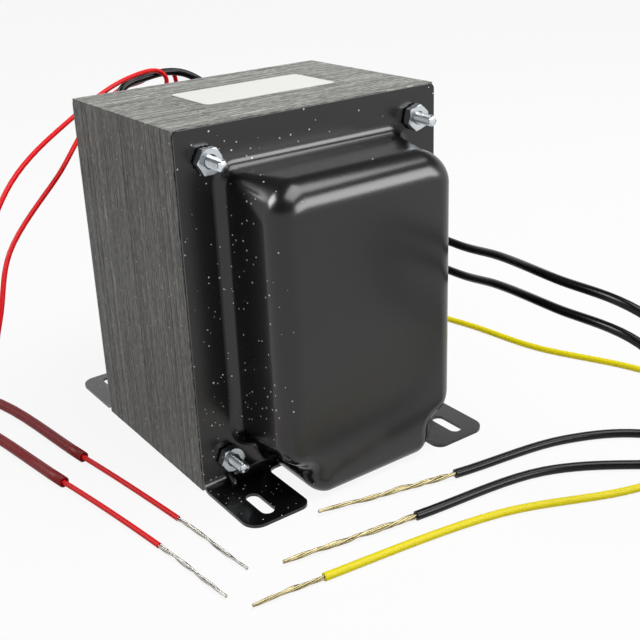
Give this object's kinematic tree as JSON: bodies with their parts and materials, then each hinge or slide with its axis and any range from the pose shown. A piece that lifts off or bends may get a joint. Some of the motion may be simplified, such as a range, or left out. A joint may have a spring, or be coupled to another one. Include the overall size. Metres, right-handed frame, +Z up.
{
  "type": "laminated chassis transformer",
  "caption": "Chassis transformer: interleaved steel stampings on edge between two black drawn end bells with slotted feet, clamped by through bolts, with red, black and yellow leads.",
  "frame": {"origin": "middle of the base, at the mounting plane under the feet", "axes": "+X from the rear bell to the front bell, along the stack of stampings; +Y across the feet; +Z up"},
  "size_m": [0.2784, 0.2783, 0.1336],
  "materials": {
    "silicon_steel": "matte scaled edges of punched sheet",
    "former_board": "pressed board",
    "magnet_wire": "enamelled copper wire",
    "kraft_paper": "impregnated paper and tape",
    "black_paint": "gloss black enamel on drawn steel",
    "black_rubber": "moulded rubber",
    "zinc_steel": "bright zinc plate",
    "dark_steel": "dull zinc plate",
    "label_white": "blank paper label",
    "red_pvc": "extruded wire insulation",
    "black_pvc": "extruded wire insulation",
    "yellow_pvc": "extruded wire insulation",
    "dark_red_tube": "loose insulating sleeve",
    "tinned_wire": "tinned copper strands"
  },
  "bodies": {
    "root": {"e_stampings_left": "silicon_steel", "i_stampings_right": "silicon_steel", "e_stampings_right": "silicon_steel", "i_stampings_left": "silicon_steel", "coil_former": "former_board", "primary_winding": "magnet_wire", "winding_paper": "kraft_paper", "secondary_winding": "magnet_wire", "coil_wrap": "kraft_paper", "lead_pad_tape": "kraft_paper", "front_bell": "black_paint", "rear_bell": "black_paint", "lead_grommets": "black_rubber", "clamp_bolts": "zinc_steel", "bolt_sleeves": "kraft_paper", "plain_washers": "zinc_steel", "lock_washers": "dark_steel", "hex_nuts": "zinc_steel", "top_label": "label_white", "red_lead_1": "red_pvc", "red_lead_2": "red_pvc", "black_lead_1": "black_pvc", "black_lead_2": "black_pvc", "yellow_lead": "yellow_pvc", "red_tube_1": "dark_red_tube", "red_tube_2": "dark_red_tube", "red_end_1": "tinned_wire", "red_end_2": "tinned_wire", "black_end_1": "tinned_wire", "black_end_2": "tinned_wire", "yellow_end": "tinned_wire"}
  },
  "joints": []
}
